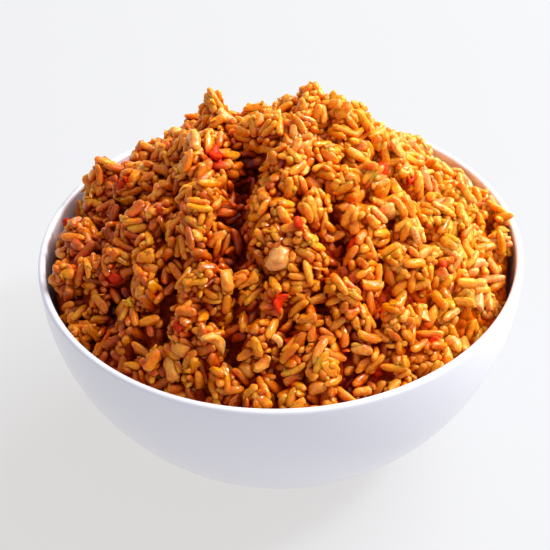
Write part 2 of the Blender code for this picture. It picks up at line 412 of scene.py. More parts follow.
# centre x, centre y, half length, half width, turn of the length from +X, rise
LUMPS = {
    "peak": (15, 18, 9, 11, 20, 14.0),
    "left_peak": (-21, 30, 4.5, 4, 0, 13.0),
    "left_back_slope": (-37, 33, 13, 8, -40, -3.5),
    "back_left_clump": (-58.5, 31.5, 10, 7, -52, 10.0),
    "back_left_shelf": (-47, 43, 7, 6, -45, 1.0),
    "left_edge_clump": (-67, 10, 6, 10, 8, 2.0),
    "back_left_hollow": (-46, 2, 14, 7, 20, -7.0),
    "left_hollow": (-36, -10, 22, 24, 0, -2.5),
    "left_rim_clump": (-69, -15, 5, 9, 10, 7.5),
    "left_pit": (-51, -29, 8, 7, 0, -6.0),
    "front_left_clump": (-31, -54, 10, 8, 20, 4.0),
    "fold_top": (-9, 30, 5, 16, 8, -7.0),
    "fold_foot": (-11, -20, 4.5, 28, -2, -8.5),
    "fold_pit": (-12, 0, 7, 10, 10, -4.5),
    "front_ridge": (4, -32, 9, 24, 0, 3.5),
    "mid_hollow": (20, -37, 11, 6, -20, -5.5),
    "front_gap": (22, -63, 6, 6, 0, -4.5),
    "right_shoulder": (48, 6, 18, 16, 30, 3.5),
    "right_back_slope": (27, 24, 6, 9, -20, -2.5),
    "right_back_clump": (45, 36, 12, 9, -40, 1.0),
    "back_right_edge": (54, 46, 14, 6, -50, 3.5),
    "right_back_edge": (70, 18, 14, 6, -76, 8.5),
    "right_edge": (70, 1, 9, 5, -88, 3.0),
    "right_front_pit": (54, -41, 9, 7, 40, -5.5),
}
CLUMP_COUNT = 80
CLUMP_JITTER = 4.0 * MM
CLUMP_CURVE = 12.0 * MM
CLUMP_RISE = 1.7 * MM


def lump(x, y, centre_x, centre_y, half_length, half_width, turned, rise):
    """A bell curve, e to the minus distance squared, that is longer one way than the other."""
    turned = math.radians(turned)
    dx, dy = x - centre_x * MM, y - centre_y * MM
    along = dx * math.cos(turned) + dy * math.sin(turned)
    across = dy * math.cos(turned) - dx * math.sin(turned)
    lengthwise, sideways = along / (half_length * MM), across / (half_width * MM)
    return rise * MM * np.exp(-(lengthwise**2) - sideways**2)


def caps(x, y, count, jitter, curve, rise, seed):
    """At each place the tallest of many round caps, spread evenly by the golden angle."""
    draw = np.random.default_rng(seed)
    radius = INNER_RADIUS * np.sqrt((np.arange(count) + 0.5) / count)
    angle = np.arange(count) * GOLDEN_ANGLE
    centre_x = radius * np.cos(angle) + draw.uniform(-1, 1, count) * jitter
    centre_y = radius * np.sin(angle) + draw.uniform(-1, 1, count) * jitter
    rises = draw.uniform(-1, 1, count) * rise
    best = np.full_like(x, -1.0)
    for cx, cy, up in zip(centre_x, centre_y, rises):
        best = np.maximum(best, up - ((x - cx) ** 2 + (y - cy) ** 2) / (2 * curve))
    return best


def heap_height(x, y):
    """Dome, lumps, and clumps that fade out at the wall."""
    reach = np.hypot(x, y) / INNER_RADIUS
    height = BOWL_HEIGHT - EDGE_DROP + DOME_RISE * (1 - reach**2)
    for shape in LUMPS.values():
        height = height + lump(x, y, *shape)
    clumps = caps(x, y, CLUMP_COUNT, CLUMP_JITTER, CLUMP_CURVE, CLUMP_RISE, SEED)
    return height + clumps * np.clip((1.08 - reach) / 0.3, 0, 1)


# %% [markdown]
# The heap's height and slope are wanted thousands of times while the grains settle, so they are
# worked out once on a fine square table of places, and read from it by blending the four
# nearest entries. Smaller clumps, a few grains across, are added here.

# %% Height table
TABLE_STEP = 0.5 * MM
TABLE_HALF = 160
ticks = np.arange(-TABLE_HALF, TABLE_HALF + 1) * TABLE_STEP
table_x, table_y = np.meshgrid(ticks, ticks, indexing="ij")
FINE_COUNT = 260
FINE_JITTER = 2.8 * MM
FINE_CURVE = 3.4 * MM
FINE_RISE = 2.2 * MM
LIFT = 1.6 * MM
BROAD = 10 * MM
fine = caps(table_x, table_y, FINE_COUNT, FINE_JITTER, FINE_CURVE, FINE_RISE, SEED + 1)
table_height = heap_height(table_x, table_y) + fine + LIFT
slope_x, slope_y = np.gradient(table_height, TABLE_STEP)
steep = np.sqrt(1 + slope_x**2 + slope_y**2)
table_normal = np.stack((-slope_x, -slope_y, np.ones_like(slope_x)), axis=-1) / steep[..., None]


def softened(table, reach):
    """The table averaged over a bell of the given reach, by multiplying its Fourier transform."""
    waves = np.fft.fftfreq(len(table), TABLE_STEP)
    bell = np.exp(-2 * (np.pi * reach * waves) ** 2)
    return np.fft.ifft2(np.fft.fft2(table) * bell[:, None] * bell).real


table_broad = softened(table_height, BROAD)


def read_table(table, x, y):
    """Blends the four entries round each place, by how near it is to each."""
    u = np.clip(x / TABLE_STEP + TABLE_HALF, 0, 2 * TABLE_HALF - 1.001)
    v = np.clip(y / TABLE_STEP + TABLE_HALF, 0, 2 * TABLE_HALF - 1.001)
    i, j = u.astype(int), v.astype(int)
    fu, fv = u - i, v - j
    if table.ndim == 3:
        fu, fv = fu[..., None], fv[..., None]
    low = table[i, j] * (1 - fu) + table[i + 1, j] * fu
    high = table[i, j + 1] * (1 - fu) + table[i + 1, j + 1] * fu
    return low * (1 - fv) + high * fv


def above_heap(points):
    """How far points lie outside the heap's surface, measured square to it, and that direction."""
    x, y, z = np.moveaxis(points, -1, 0)
    normal = read_table(table_normal, x, y)
    return (z - read_table(table_height, x, y)) * normal[..., 2], normal


def below_top(points):
    """How deep points lie under the heap's broad form, in millimetres: high in folds and gaps."""
    x, y, z = np.moveaxis(points.reshape(-1, 3), -1, 0)
    return (read_table(table_broad, x, y) - z) * read_table(table_normal, x, y)[:, 2] / MM


wall_rows = inner_wall(60)
OVER_LIP = BOWL_HEIGHT + np.array((0.7, 1.4)) * MM


def wall_radius(z):
    """The bowl's inner radius at a height. Over the lip, pieces may lie out across it."""
    heights, radii = (*wall_rows[:, 1], *OVER_LIP), (*wall_rows[:, 0], INNER_RADIUS, RIM_RADIUS)
    return np.interp(z, heights, radii)


print("heap top", round(float(table_height.max() / MM), 1), "mm")

# %% [markdown]
# ## Sorts of pieces
# Looked at closely, the rice is not all one shape. Most grains are whole, blunt and a little
# bent, some of them long and slim. Many are broken short. Some have burst, and some have come
# apart to flat ragged flakes. Among them lie diced onion and soft bits of tomato. Each sort
# has its own range of sizes, and its own shape further down. All of them are packed together
# first, so that no sort floats over another.

# %% Sorts
# name: how many, then the least and most length, width and thickness in millimetres
SORTS = {
    "long_grains": (1400, (7.0, 9.2), (2.5, 3.1), (2.2, 2.7)),
    "whole_grains": (1100, (6.0, 7.8), (2.6, 3.3), (2.2, 2.8)),
    "short_grains": (350, (4.8, 6.4), (2.7, 3.4), (2.2, 2.8)),
    "broken_grains": (300, (3.4, 5.2), (2.5, 3.3), (2.0, 2.7)),
    "burst_grains": (350, (5.8, 8.0), (3.1, 4.0), (2.0, 2.6)),
    "rice_flakes": (220, (3.8, 6.6), (2.8, 4.2), (1.7, 2.6)),
    "onion_dice": (40, (3.8, 6.2), (3.0, 4.6), (2.0, 3.0)),
    "tomato_bits": (26, (2.8, 5.0), (2.2, 3.6), (1.2, 1.8)),
}
# x, y, length, width and thickness of the pieces that stand out in the photograph
SEEN = {
    "onion_dice": [
        (-1, -40.5, 7.0, 5.3, 3.9),
        (-25.5, 6, 6.6, 4.8, 3.2),
        (-18, -18.5, 5.7, 2.1, 1.9),
        (-16.5, -44.5, 6.2, 4.4, 3.0),
        (-29, -57, 7.5, 4.4, 3.5),
        (-33, -58.5, 7.0, 4.4, 3.2),
        (-20, -57.5, 7.5, 3.5, 2.8),
        (8.5, -67.5, 5.7, 4.8, 3.3),
        (32, -18, 7.0, 5.3, 3.2),
        (60.5, -31, 5.3, 4.0, 2.6),
        (-15, 22, 7.5, 4.4, 3.0),
        (-56.5, 35.5, 5.3, 4.4, 2.8),
    ],
    "tomato_bits": [
        (-1.5, -51, 4.7, 4.2, 2.2),
        (2.5, -56, 5.1, 2.7, 1.8),
        (6, -35.5, 3.8, 3.0, 2.2),
        (21, -32, 6.4, 2.5, 2.0),
        (50, -29, 3.4, 3.1, 2.2),
        (31.5, -7, 4.2, 3.6, 2.2),
        (41, -1.5, 3.8, 2.5, 2.0),
        (44, -50, 4.2, 3.4, 2.2),
        (-35.5, -16, 3.0, 2.5, 2.0),
        (-19.5, -1, 5.1, 4.2, 2.5),
        (-50, 12.5, 4.2, 3.4, 2.3),
        (-51, -25.5, 4.2, 3.4, 2.2),
        (-30.5, -52, 3.8, 3.0, 2.2),
    ],
}
names = list(SORTS)
draw = np.random.default_rng(SEED)


def draw_sizes():
    """Every piece's sort, length, width and thickness, in shuffled order, so that the sorts mix."""
    sort = np.concatenate([np.full(row[0], i) for i, row in enumerate(SORTS.values())])
    low, high = (
        np.array([[span[end] for span in row[1:]] for row in SORTS.values()])[sort] * MM
        for end in (0, 1)
    )
    size = draw.uniform(low, high)
    order = draw.permutation(len(sort))
    return sort[order], size[order]


sort, size = draw_sizes()
shown = np.concatenate(
    [np.flatnonzero(sort == names.index(name))[: len(rows)] for name, rows in SEEN.items()]
)
shown_rows = np.concatenate([np.array(rows, float) for rows in SEEN.values()]) * MM
size[shown] = shown_rows[:, 2:]
print(len(sort), "pieces to pack,", len(shown), "of them at places of their own")

# %% [markdown]
# ## Packing the heap
# Grains that are strewn at random pass through each other, and that never looks like food. So
# they are settled first. Each piece is stood in for by five balls in a row along its length.
# Again and again, balls of different pieces that overlap push each other apart, and the
# push moves and turns the pieces they belong to. Meanwhile everything is drawn in towards
# the heap and kept inside the bowl. After some dozens of rounds the pieces hardly cross any
# more, with the small dark gaps between them that real rice has. The balls are slimmer than
# the pieces, because cooked rice is soft and sticks together.

# %% Where the pieces start
SHELL = 6.0 * MM
STICK_OUT = 2.2 * MM
SPARE = 2.2  # places tried for each piece
LAID_FLAT = 0.45  # share of a direction's upward part that is taken away


def start_places(count):
    """Spiral places, kept more often where the heap is steep, at random depths in its shell."""
    many = int(count * SPARE)
    radius = (INNER_RADIUS - 1.5 * MM) * np.sqrt((np.arange(many) + 0.5) / many)
    angle = np.arange(many) * GOLDEN_ANGLE
    x, y = radius * np.cos(angle), radius * np.sin(angle)
    steepness = 1 / read_table(table_normal, x, y)[:, 2]
    chance = draw.uniform(0, 1, many) ** (1 / steepness)
    keep = np.sort(np.argsort(-chance)[:count])
    x, y = x[keep], y[keep]
    normal = read_table(table_normal, x, y)
    surface = np.stack((x, y, read_table(table_height, x, y)), axis=-1)
    return surface - normal * draw.uniform(0, SHELL, count)[:, None]


def start_directions(centre):
    """Mostly along the heap's surface, with some pieces tipped up out of it."""
    normal = read_table(table_normal, centre[:, 0], centre[:, 1])
    loose = draw.normal(size=centre.shape)
    loose -= normal * np.sum(loose * normal, axis=1, keepdims=True) * LAID_FLAT
    return loose / np.linalg.norm(loose, axis=1, keepdims=True)


# %% Pairs of neighbours
NEAR_BY = (-1, 0, 1)
# a cell and half of its neighbours, so that no pair is found twice
STEPS = [(i, j, k) for i in NEAR_BY for j in NEAR_BY for k in NEAR_BY if (i, j, k) >= (0, 0, 0)]


def near_pairs(points, reach):
    """
    Pairs of points less than about one cell apart. Each point's cell gets one number, the numbers
    are sorted, and the points of the cells next door are then a run in that sorted list.
    """
    cell = np.floor(points / reach).astype(np.int64)
    cell -= cell.min(axis=0) - 1
    _, wide, deep = cell.max(axis=0) + 3
    key = (cell[:, 0] * wide + cell[:, 1]) * deep + cell[:, 2]
    order = np.argsort(key, kind="stable")
    sorted_key = key[order]
    first, second = [], []
    for i, j, k in STEPS:
        wanted = key + (i * wide + j) * deep + k
        low = np.searchsorted(sorted_key, wanted, "left")
        many = np.searchsorted(sorted_key, wanted, "right") - low
        one = np.repeat(np.arange(len(points)), many)
        within = np.arange(many.sum()) - np.repeat(np.cumsum(many) - many, many)
        other = order[np.repeat(low, many) + within]
        keep = one < other if (i, j, k) == (0, 0, 0) else slice(None)
        first.append(one[keep])
        second.append(other[keep])
    return np.concatenate(first), np.concatenate(second)


# %% Settling
BALLS = 5
STICKY = 0.70  # the balls' thickness, as a share of the piece's
NEAR = 3.2 * MM
ROUNDS = 80
PAIRED_EVERY = 4  # rounds
PUSH_APART = 0.32  # share of an overlap, in each round
DRAW_IN = 0.35  # share of what stands out too far
SINK = 0.02 * MM
LOWEST = 0.6 * MM  # below the shell
AT_WALL = 0.9  # share of a ball that stays inside the wall
SHORTEST = 0.3 * MM


def add_up(index, pushes, count):
    """Sums the pushes of each index, one axis at a time."""
    return np.stack([np.bincount(index, pushes[:, axis], count) for axis in range(3)], axis=-1)


def settle(centre, axis, size, stick_out):
    """Pushes overlapping pieces apart, draws them in, and keeps them in the bowl and the heap."""
    fat = (size[:, 1] + size[:, 2]) / 4 * STICKY
    half = np.maximum(size[:, 0] / 2 - fat, SHORTEST)
    place = np.linspace(-1, 1, BALLS)
    owner = np.repeat(np.arange(len(centre)), BALLS)
    for turn_number in range(ROUNDS):
        balls = centre[:, None] + axis[:, None] * half[:, None, None] * place[:, None]
        balls = balls.reshape(-1, 3)
        if turn_number % PAIRED_EVERY == 0:
            one, other = near_pairs(balls, NEAR)
            apart = owner[one] != owner[other]
            one, other = one[apart], other[apart]
        between = balls[one] - balls[other]
        distance = np.linalg.norm(between, axis=1) + 1e-9
        overlap = np.clip(fat[owner[one]] + fat[owner[other]] - distance, 0, None)
        push = between / distance[:, None] * (overlap * PUSH_APART)[:, None]
        move = add_up(one, push, len(balls)) - add_up(other, push, len(balls))
        height, normal = above_heap(balls)
        too_high = np.clip(height + fat[owner] - stick_out[owner], 0, None)
        too_low = np.clip(-SHELL - LOWEST - height, 0, None)
        move += normal * (too_low - DRAW_IN * too_high - SINK)[:, None]
        radius = np.hypot(balls[:, 0], balls[:, 1])
        too_wide = np.clip(radius + AT_WALL * fat[owner] - wall_radius(balls[:, 2]), 0, None)
        move[:, :2] -= balls[:, :2] / (radius + 1e-9)[:, None] * too_wide[:, None]
        move = move.reshape(-1, BALLS, 3)
        centre = centre + move.mean(axis=1)
        axis = axis + np.einsum("nbi,b->ni", move, place) / (place @ place * half[:, None])
        axis /= np.linalg.norm(axis, axis=1, keepdims=True)
    print(f"overlap left, mean {overlap.mean() / MM:.3f} mm, most {overlap.max() / MM:.2f} mm")
    return centre, axis


# %% [markdown]
# A few pieces of onion and tomato catch the eye in the photograph, so they start where they lie
# there, flat on the heap. The settling may still shift them a little.

# %% Pieces with places of their own


def show_on_top(centre, axis, stick_out):
    """They start at their places, flat on the heap, and may stand out more."""
    x, y = shown_rows[:, 0], shown_rows[:, 1]
    normal = read_table(table_normal, x, y)
    surface = np.stack((x, y, read_table(table_height, x, y)), axis=-1)
    centre[shown] = surface - normal * shown_rows[:, 4:] * 0.2
    axis[shown] -= normal * np.sum(axis[shown] * normal, axis=1, keepdims=True)
    axis[shown] /= np.linalg.norm(axis[shown], axis=1, keepdims=True)
    stick_out[shown] = np.where(sort[shown] == names.index("onion_dice"), 2.0, 1.0) * MM
    return centre, axis, stick_out


centre = start_places(len(sort))
stick_out = draw.uniform(0, 1, len(sort)) ** 2 * STICK_OUT
centre, axis, stick_out = show_on_top(centre, start_directions(centre), stick_out)
centre, axis = settle(centre, axis, size, stick_out)

# %% [markdown]
# A settled piece has a place and a long axis, but it can still be rolled about that axis. Most
# cooked grains lie on their broad side, so each one's own upward direction is near the heap's.

# %% Each piece's own directions
ROLLED = 0.45  # how far it strays from the heap's direction


def own_directions(centre, axis):
    """Lengthwise, sideways and upwards for each piece: upwards is near the heap's own direction."""
    normal = read_table(table_normal, centre[:, 0], centre[:, 1])
    up = normal + draw.normal(scale=ROLLED, size=normal.shape)
    side = np.cross(up, axis)
    side /= np.linalg.norm(side, axis=1, keepdims=True)
    return np.stack((axis, side, np.cross(axis, side)), axis=1)


turned = own_directions(centre, axis)


def lay_out(shape, chosen):
    """Shapes in their own directions, one for each chosen piece, set in place in the heap."""
    return np.einsum("npi,nij->npj", shape, turned[chosen]) + centre[chosen][:, None]


# %% [markdown]
# Where grains touch, shade is painted into their colour, and their bare parts stay pale. For that
# it is worth knowing how crowded each place is. Every piece leaves a few marks along its length in
# a grid of small cells, a bell curve spreads the marks, and the grid can then be read anywhere.

# %% Crowding
MARKS = 7
CELL = 1.0 * MM
GRID_LOW = np.array((-90, -90, 30)) * MM
GRID_CELLS = np.array((180, 180, 110))
JUST_OUTSIDE = 1.3 * MM
CROWD_REACH = 1.3 * MM
RED_REACH = 2.4 * MM


def spread_marks(chosen, reach):
    """The share of space that the chosen pieces fill round each cell, over a bell of that reach."""
    steps = np.linspace(-0.75, 0.75, MARKS)[None, :, None]
    marks = centre[chosen][:, None] + axis[chosen][:, None] * size[chosen, :1, None] / 2 * steps
    cell = ((marks.reshape(-1, 3) - GRID_LOW) / CELL).astype(int)
    volume = np.repeat(size[chosen].prod(axis=1) / MARKS, MARKS)
    grid = np.bincount(np.ravel_multi_index(cell.T, GRID_CELLS), volume, GRID_CELLS.prod())
    grid = grid.reshape(GRID_CELLS) / CELL**3
    for way, cells in enumerate(GRID_CELLS):
        bell = np.exp(-2 * (np.pi * reach * np.fft.rfftfreq(cells, CELL)) ** 2)
        bell = bell.reshape(np.where(np.arange(3) == way, -1, 1))
        grid = np.fft.irfft(np.fft.rfft(grid, axis=way) * bell, cells, axis=way)
    return grid


def read_grid(grid, points):
    """Blends the eight cells round each place."""
    place = (points.reshape(-1, 3) - GRID_LOW) / CELL - 0.5
    low = np.floor(place).astype(int)
    part = place - low
    total = 0
    for corner in np.ndindex(2, 2, 2):
        weight = np.where(corner, part, 1 - part).prod(axis=1)
        total = total + weight * grid[tuple((low + corner).T)]
    return total


def push_out(points, chosen):
    """Points moved a little way off their piece, straight away from its middle line."""
    off = points - centre[chosen][:, None]
    line = axis[chosen][:, None]
    straight = (size[chosen, :1] - size[chosen, 1:2]) / 2
    lengthwise = np.clip(np.sum(off * line, axis=2), -straight, straight)
    across = off - line * lengthwise[..., None]
    return points + across / np.linalg.norm(across, axis=2, keepdims=True) * JUST_OUTSIDE


crowded = spread_marks(sort >= 0, CROWD_REACH)
red_near = spread_marks(sort == names.index("tomato_bits"), RED_REACH)
densest = np.percentile(crowded[crowded > 0.05], 90)
print(f"share of space filled where it is most crowded: {densest:.2f}")

# %% [markdown]
# ## The shape of a cooked grain
# A cooked grain is a long blunt egg that has gone a little wrong: bent, fatter at one end, with
# soft dents, a shallow groove down one side, and ends that are round or cut. One function
# makes all the grains of a sort at once, as an array of grain by ring by step round. The
# higher the power, the squarer the end. Thousands of grains are wanted, so each has only 48
# quads and 16 triangles, and some of its edges are left sharp, because it isn't smooth.

# %% Grain shapes
GRAIN_RINGS = 7
GRAIN_AROUND = 8
TIP = 0.97
GROOVE_WIDTH = 0.6  # radians


def grains(size, blunt, bend, taper, dents, groove, ragged):
    """
    Points of every grain. t runs from -1 to 1 along it and a goes round. The ring's radius is the
    root of one minus t to the power blunt, times taper, three soft waves for dents and a ragged
    noise, and less at the groove. The middle line bends as t squared.
    """
    count = len(size)
    length, width, thick = (size[:, i, None, None] / 2 for i in range(3))
    t = -np.cos(np.linspace(0, np.pi, GRAIN_RINGS + 2))[None, 1:-1, None]
    a = (np.arange(GRAIN_AROUND) * 2 * np.pi / GRAIN_AROUND)[None, None, :]
    power = np.where(t < 0, *(draw.uniform(*blunt, (count, 1, 1)) for _ in range(2)))
    ring = np.sqrt(1 - np.abs(t) ** power) * (1 + draw.uniform(-taper, taper, (count, 1, 1)) * t)
    for waves in (1, 2, 3):
        shift, around = draw.uniform(0, 2 * np.pi, (2, count, 1, 1))
        strength = draw.uniform(0, dents / math.sqrt(waves), (count, 1, 1))
        ring = ring * (1 + strength * np.sin(2.4 * waves * t + shift) * np.cos(waves * a + around))
    beside = np.angle(np.exp(1j * (a - np.pi / 2)))
    ring = ring * (1 - groove * np.exp(-((beside / GROOVE_WIDTH) ** 2)) * (1 - t**2))
    ring = ring * (1 + draw.normal(scale=ragged, size=ring.shape))
    twist = a + draw.uniform(-0.5, 0.5, (count, 1, 1)) * t
    bow, sway = (draw.uniform(-bend, bend, (count, 1, 1)) * length for _ in range(2))
    x = t * length + 0 * ring
    y = width * ring * np.cos(twist) + sway * t**2
    z = thick * ring * np.sin(twist) + bow * t**2
    sides = np.stack((x, y, z), axis=-1).reshape(count, -1, 3)
    ends = [
        np.stack((s * TIP * length, sway * TIP, bow * TIP), axis=-1).reshape(count, 1, 3)
        for s in (-1, 1)
    ]
    return np.concatenate((sides, *ends), axis=1)


def grain_faces(count):
    """The faces of one grain, repeated for each with its own points."""
    points = GRAIN_RINGS * GRAIN_AROUND + 2
    sides = tube_faces(GRAIN_RINGS, GRAIN_AROUND)
    last = (GRAIN_RINGS - 1) * GRAIN_AROUND
    ends = np.concatenate((
        fan_faces(points - 2, 0, GRAIN_AROUND, False),
        fan_faces(points - 1, last, GRAIN_AROUND, True),
    ))
    start = (np.arange(count) * points)[:, None, None]
    return [(sides + start).reshape(-1, 4), (ends + start).reshape(-1, 3)]


print("one grain has", sum(len(block) for block in grain_faces(1)), "faces")

# %% [markdown]
# Diced onion is cut, not grown, so its pieces are small blocks with soft corners. A block is a
# ball whose points are pushed out until the sum of their coordinates, each to a high power,
# is one. The tomato has cooked to soft flat scraps, and the flakes are scraps of rice: the
# same, with a lower power, which is rounder, and other dents.

# %% Dice shapes
DICE_CUTS = 4


def cube_net(cuts):
    """Points on a cube's six sides, cuts squares each way, welded at its edges, and its quads."""
    flat = np.linspace(-1, 1, cuts + 1)
    u, v = (grid.ravel() for grid in np.meshgrid(flat, flat, indexing="ij"))
    corners, quads = [], []
    i, j = (grid.ravel() for grid in np.meshgrid(np.arange(cuts), np.arange(cuts), indexing="ij"))
    square = np.stack((i, i + 1, i + 1, i), -1) * (cuts + 1) + np.stack((j, j, j + 1, j + 1), -1)
    for axis_number in range(3):
        for end in (-1, 1):
            side = np.stack((np.full_like(u, end), u, v), axis=-1)
            corners.append(np.roll(side, axis_number, axis=1))
            quads.append((square if end > 0 else square[:, ::-1]) + len(u) * len(quads))
    corners, quads = np.concatenate(corners), np.concatenate(quads)
    rounded = np.round(corners * 60)
    _, first, welded = np.unique(rounded, axis=0, return_index=True, return_inverse=True)
    return corners[first], welded.ravel()[quads]


def dice(size, power, dents, curl, ragged):
    """
    Points of every die. A cube's points are divided by their own length, measured with the given
    power, which rounds its corners, then pushed in and out by slow waves and a ragged noise,
    leaned over and curled.
    """
    net, _ = cube_net(DICE_CUTS)
    count = len(size)
    length = (np.abs(net) ** power).sum(axis=1) ** (1 / power)
    shape = (net / length[:, None])[None] * np.ones((count, 1, 1))
    for _ in range(3):
        way = draw.normal(size=(count, 3, 1))
        shift = draw.uniform(0, 2 * np.pi, (count, 1, 1))
        strength = draw.uniform(0, dents, (count, 1, 1))
        shape = shape * (1 + strength * np.sin(1.6 * net[None] @ way + shift))
    shape = shape * (1 + draw.normal(scale=ragged, size=(*shape.shape[:2], 1)))
    lean = draw.uniform(-0.25, 0.25, (count, 1))
    shape[..., 0] += lean * shape[..., 1]
    shape = shape * size[:, None] / 2
    shape[..., 2] += draw.uniform(-curl, curl, (count, 1)) * shape[..., 0] ** 2 / size[:, :1]
    return shape


def dice_faces(count):
    """The quads of one die, repeated for each."""
    net, quads = cube_net(DICE_CUTS)
    return [(quads + (np.arange(count) * len(net))[:, None, None]).reshape(-1, 4)]


print("one die has", len(dice_faces(1)[0]), "faces")

# %% [markdown]
# ## Colour for each piece
# Every grain took up the sauce in its own way, so each carries a number, its tone, from 0 for dark
# to 1 for pale. Neighbours share some of it, because sauce pools. Painted light is added to it as
# well: it is paler towards the right and back, where the light falls, and darker towards the left,
# which lies in shade. A second number runs along the grain, for paler ends. A third is painted
# shade, deepest where grains crowd and down in folds, and a fourth says how near a point lies to
# tomato. They are stored on the points as attributes, and the material reads them.

# %% Tone of each piece, with painted light


def slow_field(points, length, seed):
    """A smooth field from 0 to 1: the mean of some crossing waves of about the given length."""
    ways = np.random.default_rng(seed).normal(size=(3, 9))
    shifts = np.random.default_rng(seed + 1).uniform(0, 2 * np.pi, 9)
    waves = np.sin(points @ ways * (2 * np.pi / length / 1.7) + shifts)
    return np.clip(0.5 + 0.28 * waves.sum(axis=-1) / 2.1, 0, 1)


own_shade = draw.uniform(0, 1, len(sort))
clumped = slow_field(centre, 8 * MM, SEED)
pooled = slow_field(centre, 30 * MM, SEED + 5)
# painted light: the tone grows paler towards the right and back, where the light falls, and darker
# towards the left, in shade
painted_light_tone = np.where(centre[:, 0] < 0, 4.8, 3.0) * centre[:, 0] + 1.5 * centre[:, 1]
shade = np.clip(0.60 * own_shade + 0.26 * clumped + 0.14 * pooled + painted_light_tone, 0, 1)
print(f"shade, mean {shade.mean():.2f}")

# %% Painted shade of each point


def smooth_step(value, low, high):
    """From 0 at low to 1 at high, with soft ends: three t squared less two t cubed."""
    t = np.clip((value - low) / (high - low), 0, 1)
    return t * t * (3 - 2 * t)


def painted_light_side(points):
    """Painted light: 0 on the left side of the heap, which lies in shade, and 1 on its lit right
    side and back.
    """
    x, y, _ = points.reshape(-1, 3).T
    return smooth_step(0.9 * x + 0.45 * y, -5 * MM, 38 * MM)


def soaked(points, crowd):
    """Painted shade of points: more where they are crowded and deep under the heap's broad form,
    and hardly any on the lit right side.
    """
    crowding = 0.7 * smooth_step(crowd, 0.2, 1.3)
    deep = smooth_step(below_top(points), 0.3, 5.5)
    return (1 - 0.85 * (1 - crowding) * (1 - deep)) * (1 - 0.95 * painted_light_side(points))


# %% Values of every point


def piece_values(chosen, points, along):
    """The attributes of every point of the chosen pieces, by name."""
    return {
        "shade": np.repeat(shade[chosen], points.shape[1]),
        "along": np.tile(along, chosen.sum()),
        # painted shade, where points are crowded or lie deep
        "soaked": soaked(points, read_grid(crowded, push_out(points, chosen))),
        "redness": read_grid(red_near, points),
    }


# %% [markdown]
# Now shapes, places and values come together, in one mesh for each sort of grain. That keeps every
# piece small enough to handle, and a sort can be looked at by itself. The broken and burst
# sorts have squarer ends and deeper dents than the whole ones.

# %% Grains
# least and most power of the ends, bend, taper, dents, groove and raggedness of each sort
GRAIN_FORMS = {
    "long_grains": ((2.0, 3.6), 0.12, 0.14, 0.12, 0.18, 0.05),
    "whole_grains": ((2.2, 4.0), 0.12, 0.18, 0.16, 0.18, 0.06),
    "short_grains": ((2.4, 6.0), 0.12, 0.22, 0.22, 0.16, 0.08),
    "broken_grains": ((2.6, 9.0), 0.10, 0.25, 0.28, 0.14, 0.10),
    "burst_grains": ((2.6, 7.0), 0.18, 0.30, 0.38, 0.34, 0.13),
}
ring_places = -np.cos(np.linspace(0, np.pi, GRAIN_RINGS + 2))[1:-1]
GRAIN_ALONG = np.concatenate((np.repeat(ring_places, GRAIN_AROUND), (-1, 1)))
rice_pieces = []
for name, form in GRAIN_FORMS.items():
    chosen = sort == names.index(name)
    points = lay_out(grains(size[chosen], *form), chosen)
    values = piece_values(chosen, points, GRAIN_ALONG)
    rice_pieces.append(crease(add_mesh(name, points, grain_faces(chosen.sum()), values), 0.3))

# %% [markdown]
# Stirring breaks off crumbs of rice, and they stick to whatever they touch. A crumb is an angular
# chip: a small box whose points are pushed about. It sits on the side of a packed piece, and takes
# that piece's tone, painted light included.

# %% Crumbs
CRUMB_COUNT = 1100
CRUMB_LEAST, CRUMB_MOST = (0.9, 0.45, 0.3), (1.9, 0.8, 0.6)  # half sizes, in millimetres


def make_crumbs():
    """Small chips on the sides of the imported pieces, each turned its own way."""
    net, quads = cube_net(2)
    net = net / np.linalg.norm(net, axis=1, keepdims=True) ** 0.3
    host = draw.integers(0, len(centre), CRUMB_COUNT)
    along = draw.uniform(-0.9, 0.9, CRUMB_COUNT)
    turn_round = draw.uniform(0, 2 * np.pi, CRUMB_COUNT)
    out = np.sqrt(1 - np.abs(along) ** 3) * 0.95
    local = np.stack((along, np.cos(turn_round) * out, np.sin(turn_round) * out), axis=-1)
    place = centre[host] + np.einsum("ni,nij->nj", local * size[host] / 2, turned[host])
    ways = np.linalg.qr(draw.normal(size=(CRUMB_COUNT, 3, 3)))[0]
    ways *= np.linalg.det(ways)[:, None, None]
    reach = draw.uniform(CRUMB_LEAST, CRUMB_MOST, (CRUMB_COUNT, 3)) * MM
    shape = net * draw.uniform(0.6, 1.25, (CRUMB_COUNT, len(net), 1)) * reach[:, None]
    points = np.einsum("npi,nij->npj", shape, ways) + place[:, None]
    faces = quads + (np.arange(CRUMB_COUNT) * len(net))[:, None, None]
    values = {
        "shade": np.repeat(shade[host], len(net)),
        "along": np.zeros(CRUMB_COUNT * len(net)),
        "soaked": soaked(points, read_grid(crowded, points) * 0.8),
        "redness": read_grid(red_near, points),
    }
    return add_mesh("rice_crumbs", points, [faces.reshape(-1, 4)], values)


rice_pieces.append(crease(make_crumbs(), 0.6))

# %% [markdown]
# The flakes, the onion and the tomato are made from the cube in the same way. The flakes will take
# the look of rice, and the other two have looks of their own.

# %% Flakes, onion and tomato
# corner power, dents, curl and raggedness
DICE_FORMS = {
    "rice_flakes": (2.6, 0.14, 0.8, 0.08),
    "onion_dice": (3.4, 0.17, 0.8, 0.045),
    "tomato_bits": (2.4, 0.36, 1.4, 0.05),
}
diced = {}
for name, form in DICE_FORMS.items():
    chosen = sort == names.index(name)
    points = lay_out(dice(size[chosen], *form), chosen)
    values = piece_values(chosen, points, np.zeros(points.shape[1]))
    diced[name] = add_mesh(name, points, dice_faces(chosen.sum()), values)
rice_pieces.append(crease(diced.pop("rice_flakes"), 0.35))

# %% [markdown]
# ## The core
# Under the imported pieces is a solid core, so that no light shines through the heap and no gap
# shows the bowl. It is a disc of rings. Its top follows the heap a few millimetres down, with
# relief the size of grains, and its underside follows the inside of the bowl.

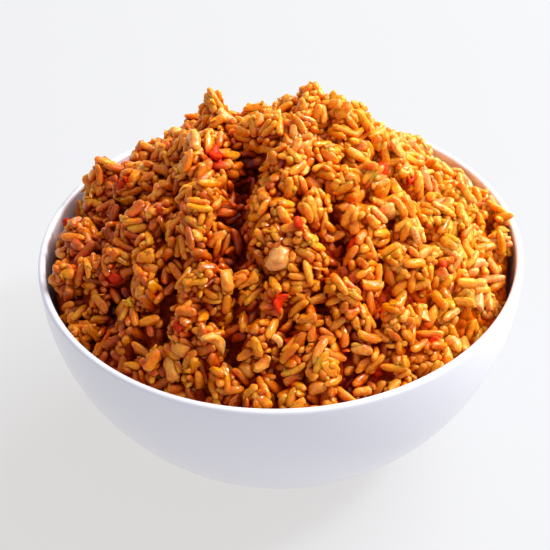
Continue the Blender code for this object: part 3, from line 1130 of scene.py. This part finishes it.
# %% Core
CORE_RINGS = 110
CORE_AROUND = 300
CORE_DEPTH = 3.6 * MM
CORE_MARGIN = 2.0 * MM
RELIEF_COUNT = 2200
RELIEF_JITTER = 1.4 * MM
RELIEF_CURVE = 0.8 * MM
RELIEF_RISE = 1.8 * MM
CLEAR = 0.5 * MM


def make_core():
    """The top rings, then rings down the inner wall, closed by a middle point above and below."""
    radius = np.linspace(0, INNER_RADIUS - CORE_MARGIN, CORE_RINGS + 1)[1:, None]
    angle = np.arange(CORE_AROUND) * 2 * np.pi / CORE_AROUND
    x, y = (radius * np.cos(angle)).ravel(), (radius * np.sin(angle)).ravel()
    relief = caps(x, y, RELIEF_COUNT, RELIEF_JITTER, RELIEF_CURVE, RELIEF_RISE, SEED + 2)
    depth = CORE_DEPTH * np.minimum(1 / read_table(table_normal, x, y)[:, 2], 1.8)
    top = np.stack((x, y, read_table(table_height, x, y) - depth + relief), axis=-1)
    wall = inner_wall(24)[:-5][::-1] - (CLEAR, -CLEAR)
    under = turn(wall, CORE_AROUND)
    middle = [(0, 0, top[:CORE_AROUND, 2].mean()), (0, 0, wall[-1, 1])]
    points = np.concatenate((top, under, middle))
    rings = CORE_RINGS + len(wall)
    last = (rings - 1) * CORE_AROUND
    faces = [
        tube_faces(rings, CORE_AROUND)[:, ::-1],
        np.concatenate((
            fan_faces(len(points) - 2, 0, CORE_AROUND, True),
            fan_faces(len(points) - 1, last, CORE_AROUND, False),
        )),
    ]
    # painted shade for the core: dark, as at the bottom of a gap, and lighter on the lit right side
    return add_mesh("heap_core", points, faces, {"soaked": 0.8 - 0.6 * painted_light_side(points)})


core = make_core()

# %% [markdown]
# ## Looks of the food
# Three things make this rice look cooked rather than painted: sauce that stains it unevenly, a
# wet thin gloss, and light that enters a grain and comes out again nearby. Four short
# functions put together the nodes that the food needs again and again.

# %% Parts of the food materials


def attribute(tree, name):
    """The number that the points of a piece carry under a name."""
    return node(tree, "ShaderNodeAttribute", {"attribute_name": name}).outputs["Fac"]


def rise(tree, value, low, high, top=1.0):
    """From 0 where the value is low to top where it is high, in a straight line."""
    made = node(tree, "ShaderNodeMapRange", Value=value, From_Min=low, From_Max=high, To_Max=top)
    return made.outputs["Result"]


def ramp(tree, value, colours):
    """A colour ramp from a list of places and colours."""
    made = node(tree, "ShaderNodeValToRGB", Fac=value)
    stops = made.color_ramp.elements
    while len(stops) < len(colours):
        stops.new(0.5)
    for stop, (at, colour) in zip(stops, colours):
        stop.position, stop.color = at, (*colour, 1)
    return made.outputs["Color"]


def mix(tree, share, first, second, blend="MIX"):
    """Two colours mixed: a share of 0 leaves the first alone, and 1 brings in all the second."""
    made = node(tree, "ShaderNodeMix", {"data_type": "RGBA", "blend_type": blend}, Factor=share)
    feed(tree, made.inputs[6], first)
    feed(tree, made.inputs[7], second)
    return made.outputs[2]


# %% [markdown]
# The staining is used by every material of the food, so it is one node group. One noise makes
# patches of sauce a few millimetres across. A finer one makes brown specks, and its value
# comes out of the group too, because the same specks are dents.

# %% Stain group
PATCH_SCALE = 260.0
SPECK_SCALE = 900.0
SPECK_COLOURS = [(0.32, (0.82, 0.60, 0.48)), (0.56, (1.0, 1.0, 1.0))]
STAIN_SOCKETS = {
    "Food": ("INPUT", "NodeSocketColor"),
    "Sauce": ("INPUT", "NodeSocketColor"),
    "Amount": ("INPUT", "NodeSocketFloat"),
    "Colour": ("OUTPUT", "NodeSocketColor"),
    "Relief": ("OUTPUT", "NodeSocketFloat"),
}


def stain_group():
    """Mixes a food colour towards the sauce in patches, and browns it in specks."""
    group = bpy.data.node_groups.new("sauce_stain", "ShaderNodeTree")
    for label, (way, kind) in STAIN_SOCKETS.items():
        group.interface.new_socket(label, in_out=way, socket_type=kind)
    given = group.nodes.new("NodeGroupInput").outputs
    result = group.nodes.new("NodeGroupOutput").inputs
    place = node(group, "ShaderNodeTexCoord").outputs["Object"]
    patches = node(group, "ShaderNodeTexNoise", Vector=place, Scale=PATCH_SCALE, Detail=3.0)
    specks = node(
        group, "ShaderNodeTexNoise", Vector=place, Scale=SPECK_SCALE, Detail=4.0, Roughness=0.7
    ).outputs["Fac"]
    share = node(group, "ShaderNodeMath", {"operation": "MULTIPLY"})
    feed(group, share.inputs[0], rise(group, patches.outputs["Fac"], 0.45, 0.68))
    feed(group, share.inputs[1], given["Amount"])
    stained = mix(group, share.outputs[0], given["Food"], given["Sauce"])
    browned = mix(group, 1, stained, ramp(group, specks, SPECK_COLOURS), "MULTIPLY")
    feed(group, result["Colour"], browned)
    feed(group, result["Relief"], specks)
    print("node group", group.name, "with", len(group.nodes), "nodes")
    return group


STAIN = stain_group()

# %% [markdown]
# Where grains meet, light has passed through sauce more than once before it comes out. Sauce lets
# red through, less green, and hardly any blue, so a gap turns from orange to a deep red brown. That
# shade is painted into the colour: a ramp over the painted shade attribute, multiplied with the
# colour.

# %% Painted shade colours
# colours of the painted shade, from none to the deepest gap
PAINTED_SHADE_COLOURS = [
    (0.0, (1.0, 1.0, 1.0)),
    (0.3, (0.96, 0.74, 0.50)),
    (0.65, (0.72, 0.30, 0.14)),
    (1.0, (0.20, 0.035, 0.06)),
]


def darken_by_painted_shade(tree, colour):
    """Darkens a colour by the painted shade: red stays most, green less, and blue hardly at all."""
    return mix(tree, 1, colour, ramp(tree, attribute(tree, "soaked"), PAINTED_SHADE_COLOURS), "MULTIPLY")


# %% [markdown]
# Rice, onion and tomato then share one recipe. The tone, with its painted light, picks the colour,
# the ends grow paler, the stain and the redness of a tomato nearby come on top, and the painted
# shade darkens it all.
# Subsurface scattering gives the glow, strongest in red, and a coat gives the wet gloss.

# %% Food material
TIP_COLOUR = (1.0, 0.52, 0.12, 1)
SAUCE_COLOUR = (0.78, 0.08, 0.001, 1)
RED_COLOUR = (0.80, 0.045, 0.002, 1)
WET = {
    "Subsurface_Radius": (1.0, 0.55, 0.25),
    "Coat_Roughness": 0.1,
    "Specular_IOR_Level": 0.06,
}


def food_material(name, colours, sauce, dents, **values):
    """
    A wet, slightly see-through food. colours is a list of places from 0 to 1 and the colour that a
    piece of that tone has, sauce is the share of it in a patch, and dents are that deep.
    """
    material, tree, shader = new_material(name, **WET, **values)
    from_middle = node(tree, "ShaderNodeMath", {"operation": "ABSOLUTE"})
    feed(tree, from_middle.inputs[0], attribute(tree, "along"))
    tip = rise(tree, from_middle.outputs[0], 0.65, 1.0, 0.45)
    food = mix(tree, tip, ramp(tree, attribute(tree, "shade"), colours), TIP_COLOUR)
    stain = node(
        tree, "ShaderNodeGroup", {"node_tree": STAIN}, Food=food, Sauce=SAUCE_COLOUR, Amount=sauce
    )
    near_red = rise(tree, attribute(tree, "redness"), 0.02, 0.14, 0.8)
    reddened = mix(tree, near_red, stain.outputs["Colour"], RED_COLOUR)
    # the painted shade darkens the colour last
    feed(tree, shader.inputs["Base Color"], darken_by_painted_shade(tree, reddened))
    dented = node(
        tree, "ShaderNodeBump", Height=stain.outputs["Relief"], Strength=0.5, Distance=dents
    )
    feed(tree, shader.inputs["Normal"], dented.outputs["Normal"])
    return material


# %% [markdown]
# Each list of colours runs from a piece that is dark with sauce to one that is pale. They are
# stronger than the colours in the picture, because the sauce stain, the gaps and the painted shade
# darken them again.

# %% Rice, onion and tomato
RICE_COLOURS = [
    (0.0, (0.50, 0.13, 0.001)),
    (0.25, (0.82, 0.33, 0.004)),
    (0.5, (0.98, 0.45, 0.018)),
    (0.75, (1.0, 0.48, 0.05)),
    (1.0, (1.0, 0.53, 0.19)),
]
ONION_COLOURS = [
    (0.0, (0.95, 0.36, 0.03)),
    (0.5, (1.0, 0.52, 0.11)),
    (1.0, (1.0, 0.70, 0.38)),
]
TOMATO_COLOURS = [
    (0.0, (0.42, 0.03, 0.001)),
    (0.6, (0.64, 0.07, 0.004)),
    (1.0, (0.82, 0.22, 0.02)),
]
rice_look = food_material(
    "cooked_rice",
    RICE_COLOURS,
    sauce=0.5,
    dents=0.7 * MM,
    Roughness=0.42,
    Subsurface_Weight=0.9,
    Subsurface_Scale=2.4 * MM,
    Coat_Weight=0.8,
)
onion_look = food_material(
    "cooked_onion",
    ONION_COLOURS,
    sauce=0.4,
    dents=0.4 * MM,
    Roughness=0.28,
    Subsurface_Weight=0.8,
    Subsurface_Scale=3.0 * MM,
    Coat_Weight=0.8,
)
tomato_look = food_material(
    "cooked_tomato",
    TOMATO_COLOURS,
    sauce=0.5,
    dents=0.4 * MM,
    Roughness=0.4,
    Subsurface_Weight=0.4,
    Subsurface_Scale=1.5 * MM,
    Coat_Weight=0.3,
)

# %% [markdown]
# The core is seen only at the bottom of gaps. It carries the darkest painted shade of the heap, and
# a pattern of cells as wide as a grain that is pressed into its surface by a bump node.

# %% Core material
DEEP_FOOD = (0.80, 0.24, 0.004, 1)
# painted shade: the dark colour of the core's patches
DEEP_PAINTED_SHADE = (0.35, 0.05, 0.001, 1)
CELL_SCALE = 330.0


def core_material():
    """Deep rice with painted shade, as it looks at the bottom of a gap."""
    material, tree, shader = new_material("deep_rice", Roughness=0.6, Specular_IOR_Level=0.1)
    stain = node(
        tree, "ShaderNodeGroup", {"node_tree": STAIN}, Food=DEEP_FOOD, Sauce=DEEP_PAINTED_SHADE, Amount=1
    )
    feed(tree, shader.inputs["Base Color"], darken_by_painted_shade(tree, stain.outputs["Colour"]))
    place = node(tree, "ShaderNodeTexCoord").outputs["Object"]
    cells = node(tree, "ShaderNodeTexVoronoi", Vector=place, Scale=CELL_SCALE)
    pitted = node(
        tree,
        "ShaderNodeBump",
        {"invert": True},
        Height=cells.outputs["Distance"],
        Distance=2.0 * MM,
    )
    feed(tree, shader.inputs["Normal"], pitted.outputs["Normal"])
    return material


# %% [markdown]
# Every piece takes its material. Together the grains, the diced pieces and the core replace the
# solid heap.

# %% Dressing the heap
for piece in rice_pieces:
    give(piece, rice_look)
give(diced["onion_dice"], onion_look)
give(diced["tomato_bits"], tomato_look)
give(core, core_material())
for piece in (*rice_pieces, *diced.values(), core):
    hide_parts("rice")
print("pieces that replace the heap:", len(rice_pieces) + len(diced) + 1)

# %% [markdown]
# ## Sizes, and the end
# Both boxes are printed, the solid's and the dressed model's. The dressed model has to keep the
# solid's size.

# %% Sizes and finish
sizes = {
    "solid": [list(corner) for corner in solid_box],
    "dressed": [list(corner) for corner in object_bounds()],
}
for label, (low, high) in sizes.items():
    print(label, [round(value / MM, 1) for value in (*low, *high)])
